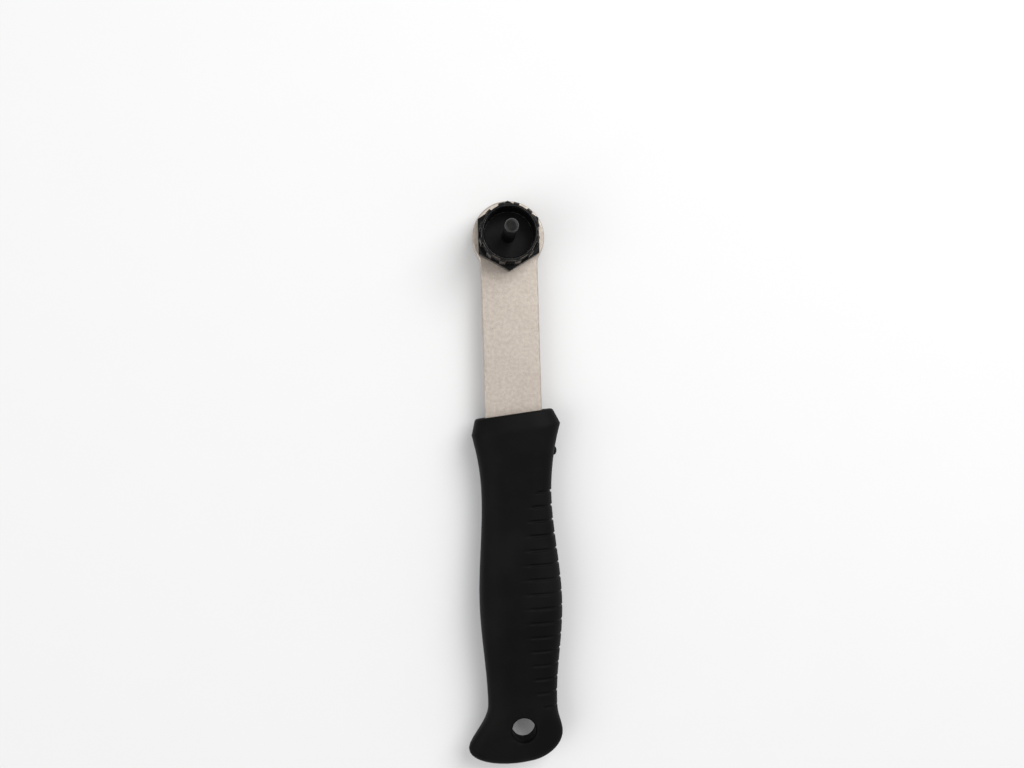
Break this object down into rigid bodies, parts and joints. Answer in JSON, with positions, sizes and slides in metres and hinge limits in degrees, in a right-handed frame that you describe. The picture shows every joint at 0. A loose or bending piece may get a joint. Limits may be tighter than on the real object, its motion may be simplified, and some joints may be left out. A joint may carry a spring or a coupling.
{
  "type": "cassette lockring tool",
  "caption": "Bicycle cassette lockring tool: a splined socket with a central guide pin on a flat steel bar with a moulded black grip and a hanging hole.",
  "frame": {"origin": "on the socket's axis, in the plane of the bar's front face, where the hexagon flange stands on the bar", "axes": "+Z along the socket and the guide pin, away from the bar; the bar and the grip run along -Y; +X is to the right when the socket faces the viewer and the grip points down"},
  "size_m": [0.0405, 0.2242, 0.0433],
  "materials": {
    "bar_steel": "satin, fine grain",
    "socket_black": "black oxide, semi-gloss",
    "pin_steel": "black oxide, semi-gloss",
    "spring_steel": "phosphated spring steel",
    "grip_black": "matte, fine moulded grain"
  },
  "bodies": {
    "root": {"bar": "bar_steel", "lockring_socket": "socket_black", "guide_pin": "pin_steel", "retaining_ring": "spring_steel", "grip": "grip_black"}
  },
  "joints": []
}
